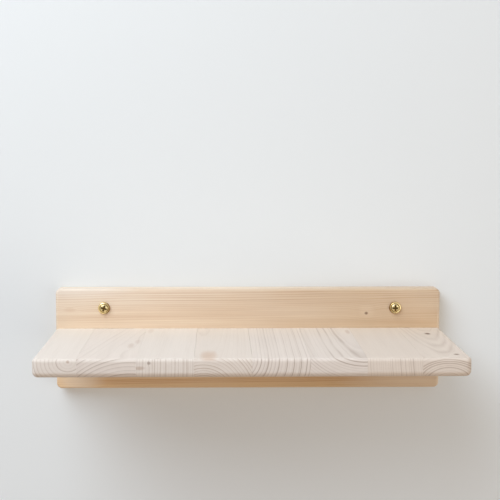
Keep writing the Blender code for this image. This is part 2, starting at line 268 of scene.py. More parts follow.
def mixed(tree, share, first, second, blend="MIX"):
    """Two colours mixed by a share. Each colour is a fixed one or another node's output."""
    node = tree.nodes.new("ShaderNodeMix")
    node.data_type = "RGBA"
    node.blend_type = blend
    sockets = [socket for socket in node.inputs if socket.type == "RGBA"]
    for socket, given in zip(sockets, (first, second)):
        if isinstance(given, tuple):
            socket.default_value = given
        else:
            tree.links.new(given, socket)
    if isinstance(share, (int, float)):
        node.inputs[0].default_value = share
    else:
        tree.links.new(share, node.inputs[0])
    return [socket for socket in node.outputs if socket.type == "RGBA"][0]


def raised(tree, height, strength, distance):
    """Fine relief in the shader's normal, from a height."""
    bump = tree.nodes.new("ShaderNodeBump")
    bump.inputs["Strength"].default_value = strength
    bump.inputs["Distance"].default_value = distance
    tree.links.new(height, bump.inputs["Height"])
    tree.links.new(bump.outputs[0], tree.nodes["Principled BSDF"].inputs["Normal"])


def new_finish(name):
    """A new material, with its node tree and its shader."""
    made = bpy.data.materials.new(name)
    made.use_nodes = True
    return made, made.node_tree, made.node_tree.nodes["Principled BSDF"]


WHITE = (1.0, 1.0, 1.0, 1.0)
# Noise in the wood, in waves per metre across, up and along the grain
SLOW_WAVES = (22, 22, 5)
QUICK_WAVES = (110, 110, 12)
PATCHES = (9, 9, 3)
FADING = (30, 30, 9)
STREAKS = (95, 95, 3.0)
FIBRES = (1400, 1400, 22)
PORES = (2600, 2600, 90)
QUICK_SHARE = 0.22
CALM_CURVE = ((0.0, 0.2), (1.0, 1.0))
FADING_CURVE = ((0.32, 0.35), (0.60, 1.0))
# How dark a ring is from its spring wood to its summer wood, how strong each ring is (at least,
# beyond that by chance, and the power of that chance), and how rings set in round the pith
LATE_WOOD = ((0.0, 0.10), (0.10, 0.0), (0.45, 0.04), (0.74, 0.30), (0.88, 0.90), (0.94, 1.0), (1.0, 0.10))
RING_STRENGTH = (0.18, 0.62, 1.3)
HEART_REACH = 0.040
HEART_CURVE = ((0.12, 0.15), (0.24, 1.0))
SPACING_WAVES = 0.31
# The half width of a single dark ring, and what is left of the other rings in a wood that has such
BOLD_RING = 0.0010
BESIDE_BOLD = 0.75
# How far a face has to turn up, or towards its ends, to show as a top or as end grain
TOP_FACING = ((0.60, 0.0), (0.92, 1.0))
END_FACING = ((0.25, 0.0), (0.80, 1.0))
MARK_RAGGED = 0.4
MARK_HALFWAY = 0.75
DRIFT_RAGGED = 0.8
WARM_BASE = 0.10
PORE_PART = 0.5
# How much the fibres and the rings change the roughness, and the relief's strength and depth
FIBRE_DULL = 0.16
RING_DULL = -0.08
GRAIN_RELIEF = (0.35, 0.00012)


def pith_distance(tree, spot, parts, ring, waver, calm, seed):
    """Distance from the pith line: sqrt((stretch * across)^2 + up^2) + waver * noise.

    Returns it with the quick part of the noise. calm is the depth behind the reference over which
    the waver sets in.
    """
    across, up, lean_across, lean_up, reference, stretch = ring
    a, b, c = parts
    along = maths(tree, "SUBTRACT", c, reference)
    pith_a = maths(tree, "MULTIPLY_ADD", along, lean_across, across)
    pith_b = maths(tree, "MULTIPLY_ADD", along, lean_up, up)
    from_pith_a = maths(tree, "MULTIPLY", maths(tree, "SUBTRACT", a, pith_a), stretch)
    from_pith_b = maths(tree, "SUBTRACT", b, pith_b)
    squares = [maths(tree, "POWER", distance, 2.0) for distance in (from_pith_a, from_pith_b)]
    radius = maths(tree, "SQRT", maths(tree, "ADD", *squares))
    slow = cloud(tree, spot, SLOW_WAVES, seed)
    quick = cloud(tree, spot, QUICK_WAVES, seed + 3)
    wander = maths(tree, "MULTIPLY_ADD", quick, QUICK_SHARE, slow)
    if calm:
        near = maths(tree, "ABSOLUTE", maths(tree, "DIVIDE", along, calm))
        wander = maths(tree, "MULTIPLY", wander, ramp(tree, near, CALM_CURVE))
    return maths(tree, "MULTIPLY_ADD", wander, waver, radius), quick


def knotted_and_painted(tree, spot, radius, quick, knots_and_painted_light):
    """The distance from the pith, grown by push * exp(-d^2 / 2) round each knot, and the knots' stains.

    d is the distance from the knot's centre in its own radii, and each mark fades out at about 1. On
    the board some marks are pale patches of painted light, which push nothing.
    """
    stains_and_painted_light = []
    for centre, radii, darkness, push, tone in knots_and_painted_light:
        inverse = tuple(1 / size for size in radii)
        offset = tuple(-middle / size for middle, size in zip(centre, radii))
        distance = span(tree, scaled(tree, spot, inverse, offset))
        bump = maths(tree, "EXPONENT", maths(tree, "MULTIPLY", maths(tree, "POWER", distance, 2.0), -0.5))
        radius = maths(tree, "MULTIPLY_ADD", bump, push, radius)
        ragged = maths(tree, "MULTIPLY_ADD", quick, MARK_RAGGED, distance)
        fade = ((0.0, darkness), (0.5, MARK_HALFWAY * darkness), (1.0, 0.0))
        stains_and_painted_light.append((ramp(tree, ragged, fade), tone))
    return radius, stains_and_painted_light


def summer_wood(tree, radius, width, first_ring, uneven, bold, seed):
    """How dark the rings are at a distance from the pith, from 0 to 1.

    A point's ring number is radius / width - first_ring + uneven * noise. LATE_WOOD gives the
    darkness over its fraction, and each ring has a random strength. A bold ring is a band of
    dark * (1 - |radius - reach| / BOLD_RING).
    """
    number = maths(tree, "SUBTRACT", maths(tree, "DIVIDE", radius, width), first_ring)
    shift = tree.nodes.new("ShaderNodeTexNoise")
    shift.noise_dimensions = "1D"
    shift.inputs["Scale"].default_value = SPACING_WAVES
    shift.inputs["Detail"].default_value = 1.0
    tree.links.new(maths(tree, "ADD", number, 10 * seed), shift.inputs["W"])
    number = maths(tree, "MULTIPLY_ADD", maths(tree, "SUBTRACT", shift.outputs[0], 0.5), uneven, number)
    late_wood = ramp(tree, maths(tree, "FRACT", number), LATE_WOOD)
    chance = tree.nodes.new("ShaderNodeTexWhiteNoise")
    chance.noise_dimensions = "1D"
    tree.links.new(maths(tree, "ADD", maths(tree, "FLOOR", number), 17 * seed), chance.inputs["W"])
    least, beyond, power = RING_STRENGTH
    strength = maths(tree, "POWER", chance.outputs["Value"], power)
    strength = maths(tree, "MULTIPLY_ADD", strength, beyond, least)
    late_wood = maths(tree, "MULTIPLY", late_wood, strength)
    heart = ramp(tree, maths(tree, "MULTIPLY", radius, 1 / HEART_REACH), HEART_CURVE)
    late_wood = maths(tree, "MULTIPLY", late_wood, heart)
    if bold:
        late_wood = maths(tree, "MULTIPLY", late_wood, BESIDE_BOLD)
        dark, reaches = bold
        for reach in reaches:
            away = maths(tree, "ABSOLUTE", maths(tree, "SUBTRACT", radius, reach))
            band = maths(tree, "MULTIPLY_ADD", away, -dark / BOLD_RING, dark)
            late_wood = maths(tree, "MAXIMUM", late_wood, band)
    return late_wood


def ring_wood(
    name, axes, ring, tones, grain, knots_and_painted_light=(), seed=1.0, gloss=(0.6, 0.35), painted_shade_and_tint_drifts=(), calm=None, bold=None
):
    """Solid wood: growth rings about a pith line, seen wherever the surface cuts them.

    axes name the object's axes across, up and along the grain. ring holds the pith's place across
    and up, how far it leans on both per metre along, where along it has that place, the rings'
    width, how much the distance across counts, and the number that the rings start from.

    grain holds how strongly rings show on the face that looks up, on the other long faces and on
    the end grain, how much the fibres, streaks and slow patches show, how far the rings waver, and
    how uneven their widths are. Away from the end grain, the rings come and go along the wood.

    Knots are ellipsoids in the same axes: centre, radii, darkness, how far they push the rings, and
    tone. On the board some of them are pale patches of painted light instead, and push nothing. Each
    drift multiplies the colour by a tint that grows between two places on one axis, mostly as painted
    shade. calm is the depth over which the waver sets in, bold gives how dark single rings are and
    their radii, and gloss is roughness and specular.
    """
    made, tree, shader = new_finish(name)
    across, up, lean_across, lean_up, reference, width, stretch, first_ring = ring
    on_top, on_sides, on_ends, fibre_share, streak_share, patch_share, waver, uneven = grain
    early, late = tones

    place = tree.nodes.new("ShaderNodeTexCoord")
    split = tree.nodes.new("ShaderNodeSeparateXYZ")
    tree.links.new(place.outputs["Object"], split.inputs[0])
    parts = [split.outputs[axis] for axis in axes]
    join = tree.nodes.new("ShaderNodeCombineXYZ")
    for part, socket in zip(parts, join.inputs):
        tree.links.new(part, socket)
    spot = join.outputs[0]

    line = (across, up, lean_across, lean_up, reference, stretch)
    radius, quick = pith_distance(tree, spot, parts, line, waver, calm, seed)
    radius, stains_and_painted_light = knotted_and_painted(tree, spot, radius, quick, knots_and_painted_light)
    late_wood = summer_wood(tree, radius, width, first_ring, uneven, bold, seed)

    facing = tree.nodes.new("ShaderNodeSeparateXYZ")
    tree.links.new(place.outputs["Normal"], facing.inputs[0])
    upward = ramp(tree, facing.outputs[axes[1]], TOP_FACING)
    endward = ramp(tree, maths(tree, "ABSOLUTE", facing.outputs[axes[2]]), END_FACING)
    shown = maths(tree, "MULTIPLY_ADD", upward, on_top - on_sides, on_sides)
    shown = maths(tree, "MULTIPLY_ADD", endward, maths(tree, "SUBTRACT", on_ends, shown), shown)
    late_wood = maths(tree, "MULTIPLY", late_wood, shown)
    fading = ramp(tree, maths(tree, "ADD", cloud(tree, spot, FADING, seed + 13, 1.0), 0.5), FADING_CURVE)
    late_wood = maths(tree, "MULTIPLY", late_wood, mixed(tree, endward, fading, WHITE))

    fibres = cloud(tree, spot, FIBRES, seed + 5, 1.5)
    pores = cloud(tree, spot, PORES, seed + 7, 1.0)
    streaks = cloud(tree, spot, STREAKS, seed + 11)
    patches = cloud(tree, spot, PATCHES, seed + 9)
    shade = maths(tree, "MULTIPLY_ADD", fibres, fibre_share, 1.0)
    shade = maths(tree, "MULTIPLY_ADD", pores, PORE_PART * fibre_share, shade)
    shade = maths(tree, "MULTIPLY_ADD", patches, patch_share, shade)
    warmth = maths(tree, "MULTIPLY_ADD", streaks, streak_share, late_wood)
    colour = mixed(tree, maths(tree, "ADD", warmth, WARM_BASE * streak_share), early, late)
    # Painted shade: each drift tints the colour between two places on one axis
    for axis, begin, full, tint in painted_shade_and_tint_drifts:
        reached = maths(tree, "DIVIDE", maths(tree, "SUBTRACT", parts[axis], begin), full - begin)
        reached = maths(tree, "MULTIPLY_ADD", patches, DRIFT_RAGGED, reached)
        reached = ramp(tree, reached, ((0.0, 0.0), (1.0, 1.0)))
        colour = mixed(tree, 1.0, colour, mixed(tree, reached, WHITE, tint), "MULTIPLY")
    # Knots' stains, and on the board pale patches of painted light
    for stain_and_light_share, tone in stains_and_painted_light:
        colour = mixed(tree, stain_and_light_share, colour, tone)
    colour = mixed(tree, 1.0, colour, shade, "MULTIPLY")
    tree.links.new(colour, shader.inputs["Base Color"])

    roughness, specular = gloss
    dull = maths(tree, "MULTIPLY_ADD", fibres, FIBRE_DULL, roughness)
    dull = maths(tree, "MULTIPLY_ADD", late_wood, RING_DULL, dull)
    tree.links.new(dull, shader.inputs["Roughness"])
    shader.inputs["Specular IOR Level"].default_value = specular
    raised(tree, maths(tree, "MULTIPLY_ADD", fibres, 0.5, late_wood), *GRAIN_RELIEF)
    return made


SPRUCE = (paint(229, 220, 210), paint(166, 142, 121))
SPRUCE_PALE = (paint(231, 223, 214), paint(164, 142, 122))
SPRUCE_BOLD = (paint(230, 221, 212), paint(142, 120, 102))
SPRUCE_WARM = (paint(227, 216, 204), paint(154, 130, 110))
# For each stave: the pith across and up, the lean of both, the rings' width, how much the distance
# across counts, the first ring's number and how uneven the rings are, then tones, and how strongly
# the rings show on top and at the front edge. Lengths are in millimetres.
STAVE_GRAIN = {
    1: ((-250.8, 12.0), (0.010, 0.006), (4.3, 0.82, 0.14, 0.5), SPRUCE_PALE, (0.06, 0.90)),
    2: ((-167.1, -96.4), (0.26, 0.05), (5.1, 1.0, 1.20, 0.5), SPRUCE_BOLD, (0.22, 0.95)),
    3: ((-307.8, 9.2), (0.02, 0.00), (3.98, 1.0, 0.07, 1.2), SPRUCE_PALE, (0.10, 0.85)),
    4: ((-67.0, -36.0), (-0.02, 0.04), (4.1, 1.0, 0.0, 0.8), SPRUCE, (0.14, 0.9)),
    5: ((-21.0, 16.0), (0.004, 0.00), (4.8, 1.0, 0.0, 1.0), SPRUCE_BOLD, (0.45, 0.95)),
    6: ((152.6, 89.9), (0.00, -0.0163), (4.03, 1.0, -0.06, 0.6), SPRUCE_BOLD, (0.50, 0.90)),
    7: ((395.0, 22.0), (0.01, 0.00), (3.35, 1.0, 0.0, 1.6), SPRUCE_WARM, (0.05, 0.75)),
    8: ((268.5, -14.0), (0.02, 0.05), (3.3, 0.60, 0.12, 0.5), SPRUCE_WARM, (0.45, 1.0)),
}
# Single dark rings in some staves: how dark they are, and their radii in millimetres
STAVE_BOLD = {
    3: (0.50, (174.3, 182.3, 189.3, 202.3, 213.3, 218.3)),
    5: (0.70, (33.0, 43.0, 57.5, 68.5, 78.0, 87.7, 95.3)),
    6: (0.80, (73.45, 78.8, 84.3)),
    7: (0.60, (193.5, 176.0)),
    8: (0.58, (28.2, 25.8, 23.2, 17.3)),
}
UMBER = paint(112, 84, 64)
TAN = paint(200, 168, 142)
BROWN = paint(164, 130, 102)
# Knots in the staves: centre, radii, darkness, push and tone, with lengths in millimetres
STAVE_KNOTS = {
    1: (((-250.8, 12.5, -276), (2.8, 2.6, 60), 0.60, 0.0, BROWN),),
    2: (
        ((-172.5, 16, -176), (6, 8, 26), 0.26, 3.0, BROWN),
        ((-165.0, 16, -145), (5, 8, 24), 0.22, 1.5, BROWN),
    ),
    3: (
        ((-141.1, 10.5, -276), (3.0, 3.0, 6), 0.60, 2.0, UMBER),
        ((-153.6, 3.6, -276), (8.5, 3.6, 8), 0.45, 0.5, BROWN),
        ((-151.0, 16, -50), (6, 8, 26), 0.18, 2.0, BROWN),
    ),
    4: (((-60.5, 16.5, -254), (14.0, 5.5, 46), 0.55, 1.5, TAN),),
    6: (((151.0, 16.5, -62), (4, 8, 24), 0.30, 1.0, BROWN),),
    8: (
        ((271.4, 16.5, -81), (4.8, 5, 8.5), 0.95, 3.0, UMBER),
        ((283.1, 16.5, -250), (5.0, 5, 6.5), 0.80, 3.0, UMBER),
    ),
}
# What all staves share: how strongly rings show at their sides, then fibres, streaks and patches,
# how far the rings waver, the depth over which that sets in, and the gloss
STAVE_SIDES = 0.35
STAVE_TEXTURE = (0.08, 0.16, 0.05)
STAVE_WAVER = 0.0035
STAVE_CALM = 0.060
STAVE_GLOSS = (0.75, 0.2)
# Painted shade, as axis, begin, full and tint: the staves grow darker and warmer along the lower edge,
# where the rounded underside turns from the light, and a little warmer towards the board
PAINTED_SHADE_AND_WARM_DRIFTS = (
    (1, -0.0015, -0.0052, (0.95, 0.905, 0.86, 1.0)),
    (2, -0.150, -0.040, (1.0, 0.985, 0.955, 1.0)),
)

stave_boxes = {number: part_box(f"shelf_stave_{number}") for number in STAVE_GRAIN}
shelf_front = stave_boxes[1][0].y
# The shelf's left end, the glued joints between the staves, and its right end
glue_joints = [stave_boxes[1][0].x]
for number in range(1, len(stave_boxes)):
    glue_joints += [(stave_boxes[number][1].x + stave_boxes[number + 1][0].x) / 2]
glue_joints += [stave_boxes[len(stave_boxes)][1].x]
screw_boxes = {count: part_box(f"shelf_screw_{count}") for count in range(1, 5)}
dowel_boxes = {count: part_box(f"dowel_{count}") for count in range(1, 5)}
SCREW_HOLE = 0.0028
DOWEL_HOLE = 0.0042
BORE_SIDES = 48


def on_axis(low, high, depth):
    """The point at a depth on the line along Y through the middle of a box."""
    return ((low.x + high.x) / 2, depth, (low.z + high.z) / 2)


def bore(radius, low, high, start, end):
    """A round cutter along the axis of a box."""
    return closed_skin(turned([(radius, start), (radius, end)], BORE_SIDES, on_axis(low, high, 0.0)))


for number, (pith, lean, ring_shape, tones, contrast) in STAVE_GRAIN.items():
    low, high = stave_boxes[number]
    first, last = number == 1, number == len(STAVE_GRAIN)
    left = glue_joints[number - 1] + (0 if first else GLUE_LINE)
    right = glue_joints[number] - (0 if last else GLUE_LINE)
    lift = STAVE_LIFTS[number - 1] * MM
    reach = STAVE_REACHES[number - 1] * MM
    rings = stave_rings(left, right, low.y + reach, high.y, high.z + lift, low.z + lift, first, last)
    knots_and_painted_light = [
        (tuple(MM * at for at in centre), tuple(MM * size for size in radii), darkness, MM * push, tone)
        for centre, radii, darkness, push, tone in STAVE_KNOTS.get(number, ())
    ]
    width, stretch, first_ring, uneven = ring_shape
    on_top, on_front = contrast
    dark, radii = STAVE_BOLD.get(number, (0.0, ()))
    finish = ring_wood(
        f"pale_spruce_{number}",
        "XZY",
        (MM * pith[0], MM * pith[1], *lean, shelf_front, MM * width, stretch, first_ring),
        tones,
        (on_top, STAVE_SIDES, on_front, *STAVE_TEXTURE, STAVE_WAVER, uneven),
        knots_and_painted_light,
        seed=float(number),
        gloss=STAVE_GLOSS,
        painted_shade_and_tint_drifts=PAINTED_SHADE_AND_WARM_DRIFTS,
        calm=STAVE_CALM,
        bold=(dark, [MM * radius for radius in radii]) if radii else None,
    )
    made = piece(f"stave_{number}", *closed_skin(rings), finish)
    holes = [
        bore(hole, *box, box[0].y, 0.0)
        for hole, found in ((SCREW_HOLE, screw_boxes), (DOWEL_HOLE, dowel_boxes))
        for box in found.values()
        if left < (box[0].x + box[1].x) / 2 < right
    ]
    bored(made, holes)
    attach(made, "root")
    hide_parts(f"shelf_stave_{number}")

# Back board. One warm pine plank with its grain along the wall, its corners rounded and its front edge
# eased. Two clearance holes take the wall screws, and from behind it is drilled and countersunk for
# the shelf's screws and drilled for the dowels.
BOARD_CORNER = 0.0080
BOARD_EASE = 0.0035
WALL_SCREW_HOLE = 0.0033
HEAD_HOLE = 0.0051
DRILL_DEPTH = 0.030
CLEARANCE = 0.0003
OVERCUT = 0.001
PINE = (paint(238, 221, 200), paint(196, 150, 105))
PINE_KNOT = paint(104, 70, 46)
PINE_SMUDGE = paint(196, 150, 108)
# Pale tone of the knot's halo, and of the patches of painted light
PINE_PALE_AND_PAINTED_LIGHT = paint(240, 222, 198)
# Painted highlight along the board's top edge at the left
PINE_PAINTED_HIGHLIGHT = paint(243, 234, 222)
# Tints of painted shade on the board: darker towards its right, warmer towards its lower edge
PINE_PAINTED_SHADE = (0.80, 0.76, 0.70, 1.0)
PINE_PAINTED_WARM_SHADE = (0.98, 0.82, 0.58, 1.0)
BOARD_GLOSS = (0.42, 0.5)


def board_rings(low, high):
    """Rings of the board from its rear face to its front: rectangles with quarter circles at the
    corners, which draw in by ease * (1 - sin t) over the front's rounded edge."""
    turn = np.linspace(np.pi / 2, 0, ROUND_STEPS + 1)
    inset = np.concatenate([[0.0], BOARD_EASE * (1 - np.sin(turn))])[:, None]
    depth = np.concatenate([[high.y], low.y + BOARD_EASE * (1 - np.cos(turn))])[:, None]
    bend = BOARD_CORNER - inset
    arc = np.linspace(0, np.pi / 2, CORNER_STEPS + 1)[None, :]
    quarters = []
    for start, x_way, z_way in ((0, 1, 1), (1, -1, 1), (2, -1, -1), (3, 1, -1)):
        middle_x = (high.x if x_way > 0 else low.x) - x_way * BOARD_CORNER
        middle_z = (high.z if z_way > 0 else low.z) - z_way * BOARD_CORNER
        angle = arc + start * np.pi / 2
        x = middle_x + bend * np.cos(angle)
        z = middle_z + bend * np.sin(angle)
        quarters.append(np.stack([x, depth + 0 * x, z], axis=-1))
    return np.concatenate(quarters, axis=1)


low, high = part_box("back_board")
BOARD_RING = (-0.160, 0.020, 0.010, 0.0, 0.0, 0.0031, 1.0, 0.0)
BOARD_GRAIN = (0.70, 0.70, 0.85, 0.10, 0.80, 0.06, 0.0034, 1.6)
BOARD_BOLD = (0.74, (0.2370, 0.2336, 0.2300, 0.2260, 0.1069, 0.1047, 0.1024))
# The small knot at the right in its pale halo and a smudge at the left. The pale patches at both ends
# of the strip below the shelf and along the board's right end are painted light, and the white one
# along its top edge at the left is a painted highlight
BOARD_KNOTS_AND_PAINTED_LIGHT = (
    ((0.0430, -0.026, 0.1850), (0.0120, 0.008, 0.0150), 0.20, 0.004, PINE_PALE_AND_PAINTED_LIGHT),
    ((0.0398, -0.026, 0.1844), (0.0030, 0.006, 0.0036), 0.90, 0.0, PINE_KNOT),
    ((0.0455, -0.026, -0.2785), (0.0050, 0.006, 0.0110), 0.19, 0.003, PINE_SMUDGE),
    # Painted light: pale patches at both ends of the strip below the shelf
    ((-0.0660, -0.026, -0.2640), (0.0240, 0.020, 0.0450), 0.75, 0.0, PINE_PALE_AND_PAINTED_LIGHT),
    ((-0.0660, -0.026, 0.2700), (0.0240, 0.020, 0.1300), 0.55, 0.0, PINE_PALE_AND_PAINTED_LIGHT),
    # Painted light along the board's right end, and a painted highlight along its top edge at the left
    ((0.0000, -0.013, high.x), (0.1200, 0.050, 0.0045), 0.80, 0.0, PINE_PALE_AND_PAINTED_LIGHT),
    ((high.z, -0.026, -0.2700), (0.0170, 0.020, 0.0950), 0.65, 0.0, PINE_PAINTED_HIGHLIGHT),
)
# Painted shade: the wood grows darker towards the right, and warmer and darker towards the lower
# edge, under the shelf
BOARD_PAINTED_SHADE_DRIFTS = ((2, -0.15, 0.20, PINE_PAINTED_SHADE), (0, 0.075, -0.075, PINE_PAINTED_WARM_SHADE))

pine = ring_wood(
    "warm_pine",
    "ZYX",
    BOARD_RING,
    PINE,
    BOARD_GRAIN,
    BOARD_KNOTS_AND_PAINTED_LIGHT,
    seed=21.0,
    gloss=BOARD_GLOSS,
    painted_shade_and_tint_drifts=BOARD_PAINTED_SHADE_DRIFTS,
    bold=BOARD_BOLD,
)
back_board = piece("board", *closed_skin(board_rings(low, high)), pine)
holes = []
for side in ("left", "right"):
    holes.append(bore(WALL_SCREW_HOLE, *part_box(f"cup_washer_{side}"), low.y - OVERCUT, high.y + OVERCUT))
for box in screw_boxes.values():
    place = on_axis(*box, box[1].y)
    cone_end = -CLEARANCE - (HEAD_HOLE - SCREW_HOLE)
    drill = [(HEAD_HOLE, OVERCUT - box[1].y), (HEAD_HOLE, -CLEARANCE)]
    drill += [(SCREW_HOLE, cone_end), (SCREW_HOLE, -DRILL_DEPTH)]
    holes.append(closed_skin(turned(drill, BORE_SIDES, place)))
for box in dowel_boxes.values():
    holes.append(bore(DOWEL_HOLE, *box, low.y - OVERCUT, box[1].y + CLEARANCE))
bored(back_board, holes)
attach(back_board, "root")
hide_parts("back_board")

# Dowels. Four fluted beech dowels, chamfered at both ends, glued half in the board and half in the
# staves that hold no screw.
DOWEL_RADIUS = 0.0040
DOWEL_CHAMFER = 0.0010
FLUTES = 12
FLUTE_DEPTH = 0.0004
FLUTE_POWER = 6
FLUTE_STEPS = 8
BEECH = (paint(206, 170, 130), paint(180, 138, 98))
BEECH_RING = (0.0, 0.3, 0.0, 0.0, 0.0, 0.0021, 1.0, 0.0)
BEECH_GRAIN = (0.3, 0.3, 0.5, 0.25, 0.05, 0.1, 0.001, 1.0)


def dowel_rings(low, high):
    """Rings of a dowel along Y. Its radius dips by depth * |cos(flutes * turn / 2)|^power round it."""
    turn = 2 * np.pi * np.arange(FLUTES * FLUTE_STEPS) / (FLUTES * FLUTE_STEPS)
    ends = np.array([low.y, low.y + DOWEL_CHAMFER, high.y - DOWEL_CHAMFER, high.y])[:, None]
    tip = DOWEL_RADIUS - DOWEL_CHAMFER
    radius = np.array([tip, DOWEL_RADIUS, DOWEL_RADIUS, tip])[:, None]
    fluted = np.array([0.0, 1.0, 1.0, 0.0])[:, None]
    radius = radius - fluted * FLUTE_DEPTH * np.abs(np.cos(FLUTES * turn / 2)) ** FLUTE_POWER
    x = (low.x + high.x) / 2 + radius * np.cos(turn)
    z = (low.z + high.z) / 2 + radius * np.sin(turn)
    return np.stack([x, ends + 0 * x, z], axis=-1)


beech = ring_wood("beech", "XZY", BEECH_RING, BEECH, BEECH_GRAIN, seed=31.0)
for count, box in dowel_boxes.items():
    made = piece(f"beech_dowel_{count}", *closed_skin(dowel_rings(*box)), beech, sharp=40)
    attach(made, "root")
    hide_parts(f"dowel_{count}")

# Shelf screws. Four zinc-plated countersunk screws, driven from behind through the board into the end
# grain of staves 1, 3, 6 and 8, their cross recesses facing the wall.
# The thread's root radius, its crest radius and its pitch
SHELF_SCREW_THREAD = (0.0016, 0.0025, 0.0038)
SHELF_SCREW_SHANK = 0.034
SHELF_SCREW_HEAD = 0.0048
SHELF_SCREW_EASE = 0.00008
SHELF_HEAD_FACE = (0.4, 0.97)
SHELF_SCREW_RECESS = 0.0026
SHELF_RECESS_HALF = 0.00062
SHELF_RECESS_SHARE = 0.6
# The recesses are turned by a start and a step for each screw, in degrees
ROLL_START = 19
ROLL_STEP = 37
HEAD_EDGE = 0.0003
SCREW_SIDES = 48
SCREW_SHARP = 35
# A screw's point: its length in thread diameters, and the share of the radius left at its tip
POINT_LENGTH = 1.8
POINT_TIP = 0.14
# The thread over one pitch: how far along it, and what share of the ridge's height it has there
THREAD = ((0.0, 0.0), (0.10, 0.05), (0.26, 1.0), (0.30, 1.0), (0.46, 0.05), (0.56, 0.0), (1.0, 0.0))
THREAD_RUN_IN = 0.25
# The cross recess from its mouth to its floor: share of its depth and of its width
CROSS_TAPER = ((0.0, 1.0), (0.55, 0.78), (0.9, 0.50), (1.0, 0.30))
CROSS_MOUTH = 1.02
CROSS_STEPS = 8
ZINC = (paint(205, 207, 208), paint(160, 158, 150))
ZINC_ROUGHNESS = 0.28
METAL_WEAR = (380, 380, 380)
METAL_HAZE = (2600, 2600, 2600)
METAL_RELIEF = (0.15, 0.00003)
# How much the wear dulls plain metal, and how dull that is without it, how much the wear adds to
# tarnish and painted shade, and how much dullness and haze roughen the metal
PLAIN_WEAR = (0.9, 0.25)
WEAR_ON_TARNISH_AND_SHADE = 0.35
DULL_ROUGH = 0.22
HAZE_ROUGH = 0.12
# The distance from the axis, in millimetres, over which the tarnish and painted shade are worked out
TARNISH_AND_SHADE_WIDE = 20
# Painted shade inside the cross recesses of the wall screws' heads
RECESS_PAINTED_SHADE = paint(122, 96, 50)


def screw_skin(head, shank_end, length, root, crest, pitch, place, forward):
    """Points and quads of a screw along Y, to be merged into one skin.

    The head and the shank are a lathe shape. The thread is one pitch of profile carried along a
    helix: at turn u, each profile point stands at shank_end + pitch * (u / (2 pi) + share), and its
    radius is the root plus its own ridge. Heights are held between the thread's ends, the ridge
    fades out there, and the radius tapers to the point.
    """
    x, y, z = place
    shank = (root + crest) / 2
    head_radius, head_height = head[-1]
    profile = head + [(shank, head_height + head_radius - shank)]
    profile += [(shank, shank_end - THREAD_RUN_IN * pitch), (root, shank_end)]
    body_points, body_quads = closed_skin(turned(profile, SCREW_SIDES, place, forward))
    rungs = SCREW_SIDES // 2 - 1
    body_quads = body_quads[:-rungs]

    shares, ridges = np.array(THREAD).T[:, None, :]
    turns = int(np.ceil((length - shank_end) / pitch)) + 1
    step = np.arange(-SCREW_SIDES, turns * SCREW_SIDES + 1)[:, None]
    height = np.clip(shank_end + pitch * (step / SCREW_SIDES + shares), shank_end, length)
    fade = np.clip(np.minimum(height - shank_end, length - height) / pitch, 0, 1)
    taper = np.clip(POINT_TIP + (1 - POINT_TIP) * (length - height) / (2 * crest * POINT_LENGTH), 0, 1)
    radius = taper * (root + (crest - root) * ridges * fade)
    angle = 2 * np.pi * (step % SCREW_SIDES) / SCREW_SIDES
    helix = np.stack([x + radius * np.cos(angle), y + forward * height, z + radius * np.sin(angle)], axis=-1)
    rows, count = helix.shape[:2]
    here = np.arange(rows * count).reshape(rows, count) + len(body_points)
    thread_quads = np.stack([here[:-1, :-1], here[1:, :-1], here[1:, 1:], here[:-1, 1:]], axis=-1)
    points = np.concatenate([body_points, helix.reshape(-1, 3)])
    return points, np.concatenate([body_quads, thread_quads.reshape(-1, 4)])


def cross_cutter(reach, half, depth, roll, place, forward):
    """A cross of four arms with rounded ends, drawn in towards its floor, as a cutter from a head.

    An arm's end is the half circle (reach - half + half * cos t, half * sin t), and the point
    (half, half) joins it to the next arm, which is the same a quarter turn on.
    """
    arc = np.linspace(-np.pi / 2, np.pi / 2, CROSS_STEPS + 1)
    arm_x = np.append(reach - half + half * np.cos(arc), half)
    arm_y = np.append(half * np.sin(arc), half)
    turn = roll + np.arange(4)[:, None] * np.pi / 2
    across = (arm_x * np.cos(turn) - arm_y * np.sin(turn)).reshape(-1)
    upward = (arm_x * np.sin(turn) + arm_y * np.cos(turn)).reshape(-1)
    depths, widths = np.array(CROSS_TAPER).T
    height = np.append(-OVERCUT, depth * depths)[:, None]
    share = np.append(CROSS_MOUTH, widths)[:, None]
    x, y, z = place
    return closed_skin(
        np.stack([x + share * across, y + forward * height + 0 * across, z + share * upward], axis=-1)
    )


def inside_cross(tree, flat, roll, half, reach):
    """1 where a point lies inside a cross about the axis along Y, and 0 elsewhere.

    Of its two distances along the cross's arms, the shorter is under half and the longer under reach.
    """
    turned_spot = tree.nodes.new("ShaderNodeVectorRotate")
    turned_spot.rotation_type = "Y_AXIS"
    turned_spot.inputs["Angle"].default_value = roll
    tree.links.new(flat, turned_spot.inputs["Vector"])
    arms = tree.nodes.new("ShaderNodeSeparateXYZ")
    tree.links.new(turned_spot.outputs[0], arms.inputs[0])
    u, v = (maths(tree, "ABSOLUTE", arms.outputs[axis]) for axis in "XZ")
    beside_arm = maths(tree, "LESS_THAN", maths(tree, "MINIMUM", u, v), half)
    along_arm = maths(tree, "LESS_THAN", maths(tree, "MAXIMUM", u, v), reach)
    return maths(tree, "MULTIPLY", beside_arm, along_arm)


